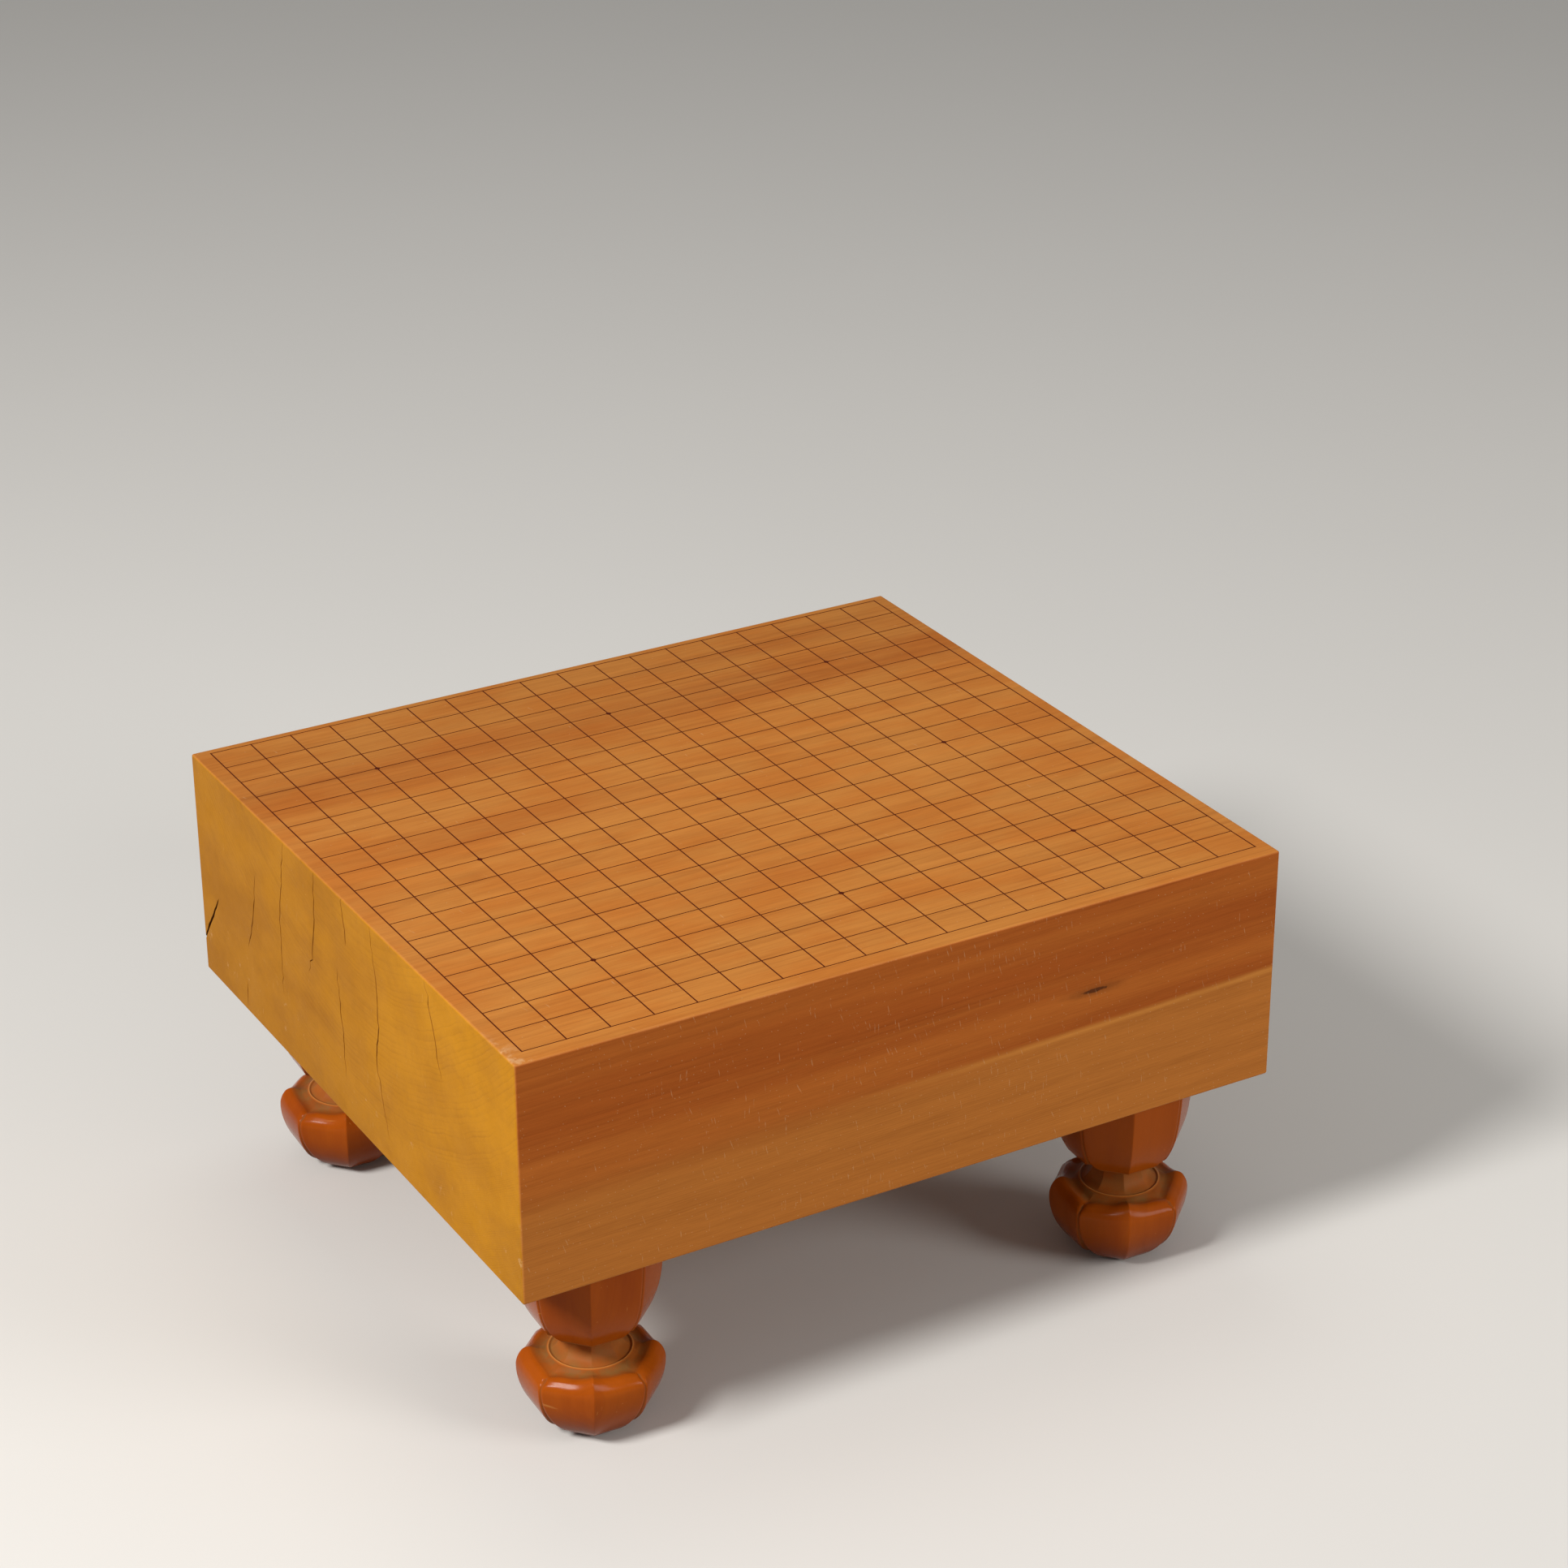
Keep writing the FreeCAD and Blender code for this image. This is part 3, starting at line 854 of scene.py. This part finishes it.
def leg_outline():
    """The outline of a flat side from the foot to the top, with soft corners and crowded where it turns."""
    widest, neck = on_flat(BULB_WIDEST), on_flat(NECK)
    line = np.vstack([
        [(0, 0)],
        arc_run(widest, DOWNWARD, on_flat(BULB_TURN), on_flat(FOOT))[::-1],
        arc_run(widest, UPWARD, on_flat(LIP_OUTER), on_flat(LIP_INNER))[1:],
        [on_flat(point) for point in (DISH, BEAD_OUTER, BEAD_CREST, BEAD_INNER)],
        arc_run(neck, DOWNWARD, on_flat(BEAD_INNER))[-2::-1],
        arc_run(neck, UPWARD, on_flat(UNDERSIDE))[1:],
        [on_flat(RIM_INNER)],
        arc_run(on_flat(CUP_TOP), DOWNWARD, on_flat(CUP_BEND), on_flat(RIM))[::-1],
        [(0, LEG_HEIGHT)],
    ])
    fine = resampled(line, np.arange(0, walked(line)[-1], FINE_STEP))
    kernel = np.exp(-0.5 * (np.arange(-CORNER_REACH, CORNER_REACH + 1) / CORNER_SPREAD) ** 2)
    kernel /= kernel.sum()
    before = 2 * fine[0] - fine[CORNER_REACH:0:-1]
    after = 2 * fine[-1] - fine[-2:-CORNER_REACH - 2:-1]
    padded = np.vstack([before, fine, after])
    soft = np.transpose([np.convolve(values, kernel, "valid") for values in padded.T])
    soft = np.clip(soft, 0, (np.inf, LEG_HEIGHT))
    heading = np.unwrap(np.arctan2(*np.gradient(soft, axis=0).T))
    effort = np.cumsum(FINE_STEP / ROW_LENGTH + np.abs(np.gradient(heading)) / ROW_TURN)
    chosen = np.r_[0, 1 + np.flatnonzero(np.diff(np.floor(effort))), len(soft) - 1]
    rows = soft[np.unique(chosen)]
    rows[0], rows[-1] = (0, 0), (0, LEG_HEIGHT)
    return rows.T


def petal_edge(height, groove_depth):
    """How far a petal reaches to each side of its ridge, at each height."""
    half_width = (BULB_WIDEST[0] - groove_depth) * PETAL_SHARE
    widest = (half_width, BULB_WIDEST[1])
    foot, turn, shoulder, end = [(half_width - inset, level) for inset, level in BULB_PETAL.values()]
    below, above = arc_run(widest, DOWNWARD, turn, foot), arc_run(widest, UPWARD, shoulder)
    bulb = np.vstack([below[::-1], above[1:], [end]])
    top, bend, corner = [((reach - groove_depth) * PETAL_SHARE, level)
                         for reach, level in (CUP_TOP, CUP_BEND, CUP_PETAL_CORNER)]
    cup = arc_run(top, DOWNWARD, bend, corner, (corner[0] - CUP_PETAL_INSET, RIM_INNER[1]))[::-1]
    return np.where(height < PARTING, np.interp(height, *bulb.T[::-1]), np.interp(height, *cup.T[::-1]))


def leg_marks(flat, height):
    """How round each row is, how much dirt and painted shade it takes, how much wear and painted light, and
    its share of the lip's rise.
    """
    reach = flat / FLAT_SHARE
    on_bulb = height < PARTING
    crest = np.hypot(flat - BEAD_CREST[0] * FLAT_SHARE, height - BEAD_CREST[1])
    dish = eased(reach, 22.4, 23.2) * eased(reach, 34.5, 27.0)
    # Round the neck: dirt, with painted shade under the cup and a painted shadow line just inside the bead
    neck = 0.60 + 0.3 * eased(height, 56.0, 59.0) + 0.3 * np.exp(-((reach - 20.6) / 0.5) ** 2)
    # The dish's dirt on the bulb; under the cup, dirt and painted shade
    dirt_and_shade = np.where(reach > 22.2, np.where(on_bulb, dish, 0.7), neck) * (height > 41.5) * (height < 62)
    # Painted light: a paler band on the neck's flare inside the bead
    neck_foot = 0.13 * eased(reach, 14.9, 16.4) * (reach < 20.6) * (height > 42) * (height < 53)
    inner = eased(reach, 23.6, 30.6)
    return {
        "roundness": eased(crest, 3.4, 1.4),
        "dirt_and_shade": dirt_and_shade,
        # The bead's crest, worn pale with a painted highlight, and the painted light on the neck's flare
        "worn_and_lit": np.maximum(np.exp(-(crest / 0.6) ** 2), neck_foot),
        "lip": eased(height, 29.0, 42.0) ** 2 * inner * inner * (3 - 2 * inner) * on_bulb,
    }


def add_tenon(bench, given, spot):
    """A square tenon with a chamfered end, let a little way into the top of the leg."""
    corners = {"Size": (2.0, 2.0, 2.0), "Vertices X": 2, "Vertices Y": 2, "Vertices Z": 3}
    x, y, z = spot.parts()
    at_end, at_foot = z > 0.5, z < -0.5
    wide = given["Tenon side"] * 0.5 - at_end * TENON_CHAMFER
    above = given["Tenon length"] - (1.0 - at_end) * TENON_CHAMFER
    level = given["Leg height"] + (above * (1.0 - at_foot) - at_foot * LET_IN)
    place = bench.whole(x * wide, y * wide, level)
    return bench.shape("MeshCube", corners).into("SetPosition", {"Position": place})


def leg_tree():
    """A leg round its outline: eight soft ridges, four petals parted by grooves, and a square tenon."""
    bench, given, result = shape_tree("carved_leg", {
        "Columns": 20, "Ridge softness": 0.02, "Petal softness": 0.001, "Valley": 0.002, "Lip rise": 0.0007,
        "Turn": 0.0, "Place": "vector", "Leg height": 0.116, "Tenon side": 0.026, "Tenon length": 0.038})
    columns = given["Columns"]
    outline = given["Geometry"]
    rows = outline.into("AttributeDomainSize", output="Point Count", component="MESH")
    around = columns * float(2 * PETALS)
    grid = bench.shape("MeshGrid", {
        "Size X": 1.0, "Size Y": 1.0, "Vertices X": around + 1.0, "Vertices Y": rows})
    spot = bench.shape("InputPosition")
    u, v, _ = spot.parts()
    row = round((v + 0.5) * (rows - 1.0))

    def sampled(source, kind="FLOAT"):
        return outline.into("SampleIndex", {"Value": source, "Index": row}, data_type=kind)

    def named(name):
        return sampled(bench.shape("InputNamedAttribute", {"Name": name}, data_type="FLOAT"))

    reach, _, height = sampled(spot, "FLOAT_VECTOR").parts()
    edge, roundness = named("petal_edge"), named("roundness")

    # Columns crowd at the ridge of a petal, at its edge and at the bottom of the groove
    halves = round((u + 0.5) * around) / columns
    share = halves.folded(1.0)
    petal = round((halves + 0.0001) / 2.0)
    side = bench.math("SIGN", halves / 2.0 - petal)
    ratio = edge / bench.most(reach, 0.0001)
    edge_turn = bench.math("ARCTAN2", ratio * math.cos(HALF_SIDE), 1.0 - ratio * math.sin(HALF_SIDE))
    edge_turn = bench.least(edge_turn, HALF_PETAL)
    inside = bench.most(edge_turn - EDGE_TURN, LEAST_TURN)
    outside = bench.least(edge_turn + EDGE_TURN, HALF_PETAL)
    groove_start = FACE_SHARE + EDGE_SHARE
    over_face = (share / FACE_SHARE).clamped() ** 2.0
    over_edge = ((share - FACE_SHARE) / EDGE_SHARE).clamped()
    into_groove = ((share - groove_start) / (1.0 - groove_start)).clamped()
    turn = over_face * inside + over_edge * (outside - inside) + into_groove * (HALF_PETAL - outside)

    # The eight-sided section with soft ridges, rounded where the bead runs, and kept inside the petals
    to_ridge = turn.folded(HALF_SIDE)
    beside, beyond = (HALF_SIDE - to_ridge).cosine(), (HALF_SIDE + to_ridge).cosine()
    octagon = reach / bench.math("SMOOTH_MAX", beside, beyond, given["Ridge softness"])
    circle = reach / FLAT_SHARE
    section = octagon * (1.0 - roundness) + circle * roundness
    limit = edge / bench.most(turn.sine(), 0.01)
    radius = bench.least(bench.math("SMOOTH_MIN", section, limit, given["Petal softness"]), section)

    # The petals' lips dip between the ridges and in the grooves
    to_groove = section * (HALF_PETAL - turn).sine()
    short = 1.0 - (turn / (0.55 * HALF_PETAL)).clamped()
    sag = 1.0 - short * short + to_groove.smooth(0.0045, 0.0) * 0.35
    height = (given["Lip rise"] - sag * given["Valley"]) * named("lip") + height
    angle = petal * (math.pi / 2) + side * turn
    place = bench.whole(radius * angle.cosine(), radius * angle.sine(), height)

    # The marks are worked out from the flat grid, so they are stored before its points move
    # Painted shade where the petals are cut back at their grooves, added to the mark of dirt
    notch = (section - radius).smooth(0.0002, 0.0009)
    leg = grid
    for name, value in (("dirt_and_shade", bench.most(named("dirt_and_shade"), notch * 0.55)), ("worn_and_lit", named("worn_and_lit"))):
        leg = leg.into("StoreNamedAttribute", {"Name": name, "Value": value}, data_type="FLOAT")
    leg = leg.into("SetPosition", {"Position": place}).into("MergeByDistance", {"Distance": 0.000004})
    leg = leg.into("Transform", {"Rotation": bench.whole(0.0, 0.0, given["Turn"])})
    both = add_tenon(bench, given, spot).into("JoinGeometry")
    bench.put(both.socket.node.inputs[0], leg.into("SetShadeSmooth"))
    return put_out(bench, given, result, both.into("Transform", {"Translation": given["Place"]}))


def make_legs(settings):
    """The four legs, each grown from the same outline where its solid stands."""
    flat, height = leg_outline()
    marks = {"petal_edge": petal_edge(height, settings.groove_depth / MM) * MM, **leg_marks(flat, height)}
    tree = leg_tree()
    varnished = leg_wood(settings)
    legs = []
    for corner in CORNERS:
        outline = bpy.data.meshes.new("leg_outline")
        outline.from_pydata([(r * MM, 0.0, z * MM) for r, z in zip(flat, height)], [], [])
        for name, values in marks.items():
            stored = outline.attributes.new(name, "FLOAT", "POINT")
            stored.data.foreach_set("value", values.astype(np.float32))
        low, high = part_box("leg_" + corner)
        leg = grown("carved_leg_" + corner, outline, tree, {
            "Ridge softness": settings.ridge_softness, "Petal softness": settings.petal_softness,
            "Valley": settings.valley, "Lip rise": settings.horn, "Turn": settings.turn,
            "Tenon side": settings.tenon_side, "Tenon length": settings.tenon_length,
            "Place": (low.x / 2 + high.x / 2, low.y / 2 + high.y / 2, 0.0),
            "Leg height": LEG_HEIGHT * MM, "Material": varnished})
        built = bmesh.new()
        built.from_mesh(leg.data)
        bmesh.ops.recalc_face_normals(built, faces=built.faces)
        built.to_mesh(leg.data)
        built.free()
        legs.append(finished(leg, corner + "_leg", "leg_wood", "leg_" + corner))
    return legs


# ---- Studio ----

FLOOR_REACH = 20.0
WORLD_GLOW = 0.26
# Place of the camera in metres, and its turns in degrees, of which the last is made first
CAMERA_PLACE = (-0.9045, -1.6455, 1.1608)
CAMERA_TURNS = ((-29.86, "Z"), (90 - 25.57, "X"), (-0.27, "Z"))


def add_lamp(name, place, aim_height, size, power):
    """A round soft lamp that looks at a height over the middle of the floor."""
    lamp = set_all(bpy.data.lights.new(name, "AREA"), shape="DISK", size=size, energy=power,
                   color=(1.0, 0.985, 0.96))
    aim = Vector((0, 0, aim_height)) - Vector(place)
    set_all(new_object(name, lamp), location=place, rotation_euler=aim.to_track_quat("-Z", "Y").to_euler())


def make_stage(settings):
    """Plain floor, soft lamps and the camera."""
    corners = [(x * FLOOR_REACH, y * FLOOR_REACH, 0) for x, y in ((-1, -1), (1, -1), (1, 1), (-1, 1))]
    floor_mesh = bpy.data.meshes.new("floor")
    floor_mesh.from_pydata(corners, [], [(0, 1, 2, 3)])
    floor = new_object("floor", floor_mesh)
    bench = Finish("pale_floor")
    fleck = bench.place.noise(0.004, 4.0)
    pale = bench.tinted(1.0 - fleck, settings.floor, (0.985, 0.985, 0.985))
    seen = [bench.get("ShaderNodeLightPath", output=name)
            for name in ("Is Camera Ray", "Is Glossy Ray", "Is Transmission Ray")]
    bench.put(bench.inputs["Base Color"], bench.mix(bench.most(*seen), settings.bounce, pale))
    bench.put(bench.inputs["Roughness"], 0.8)
    bench.put(bench.inputs["Specular IOR Level"], 0.1)
    floor_mesh.materials.append(bench.material)

    world = bpy.data.worlds.new("studio")
    bpy.context.scene.world = world
    world.use_nodes = True
    glow = world.node_tree.nodes["Background"].inputs
    glow["Color"].default_value = (1.0, 0.99, 0.97, 1.0)
    glow["Strength"].default_value = WORLD_GLOW

    add_lamp("key", (-2.35, -0.55, 2.35), 0.15, 0.9, settings.key)
    add_lamp("fill", (1.7, -2.5, 1.3), 0.15, 1.4, settings.fill)
    add_lamp("top", (0.3, 0.9, 3.0), 0.2, 1.6, settings.fill * 0.25)

    lens = set_all(bpy.data.cameras.new("camera"), lens=settings.lens, sensor_width=36.0, clip_end=100.0)
    camera = new_object("camera", lens)
    around, down, tilt = [Matrix.Rotation(math.radians(angle), 4, axis) for angle, axis in CAMERA_TURNS]
    camera.matrix_world = Matrix.Translation(CAMERA_PLACE) @ around @ down @ tilt
    bpy.context.scene.camera = camera
    bpy.context.scene.view_settings.view_transform = "Standard"


# ---- Add-on ----


class Builder:
    """Runs an operator's function with its settings."""

    def execute(self, context):
        self.build(getattr(context.scene, self.settings))
        return {"FINISHED"}


class GOBOARD_OT_block(Builder, bpy.types.Operator):
    """Build the block with its worn edges and drying checks"""

    bl_idname, bl_label = "goboard.block", "Block"
    build, settings = staticmethod(make_block), "go_block"


class GOBOARD_OT_lacquer(Builder, bpy.types.Operator):
    """Lay the lacquer lines and the star points"""

    bl_idname, bl_label = "goboard.lacquer", "Lacquer lines"
    build, settings = staticmethod(make_lacquer), "go_lacquer"


class GOBOARD_OT_legs(Builder, bpy.types.Operator):
    """Carve the four legs"""

    bl_idname, bl_label = "goboard.legs", "Legs"
    build, settings = staticmethod(make_legs), "go_legs"


class GOBOARD_OT_stage(Builder, bpy.types.Operator):
    """Set up the floor, the lamps and the camera"""

    bl_idname, bl_label = "goboard.stage", "Studio"
    build, settings = staticmethod(make_stage), "go_stage"


class GOBOARD_PT_panel(bpy.types.Panel):
    """Builders and settings of the go board"""

    bl_label = "Go board"
    bl_space_type = "VIEW_3D"
    bl_region_type = "UI"
    bl_category = "Go Board"

    def draw(self, context):
        for (attribute, group), operator in zip(SETTINGS.items(), OPERATORS):
            box = self.layout.box()
            box.operator(operator.bl_idname)
            for name in group.__annotations__:
                box.prop(getattr(context.scene, attribute), name)


OPERATORS = (GOBOARD_OT_block, GOBOARD_OT_lacquer, GOBOARD_OT_legs, GOBOARD_OT_stage)


def register():
    for item in (*SETTINGS.values(), *OPERATORS, GOBOARD_PT_panel):
        bpy.utils.register_class(item)
    for attribute, group in SETTINGS.items():
        setattr(bpy.types.Scene, attribute, bpy.props.PointerProperty(type=group))


def unregister():
    for attribute in SETTINGS:
        delattr(bpy.types.Scene, attribute)
    for item in (GOBOARD_PT_panel, *OPERATORS[::-1], *list(SETTINGS.values())[::-1]):
        bpy.utils.unregister_class(item)


def main():
    register()
    bpy.ops.goboard.block()
    bpy.ops.goboard.lacquer()
    bpy.ops.goboard.legs()
    bpy.ops.goboard.stage()


if __name__ == "__main__":
    main()
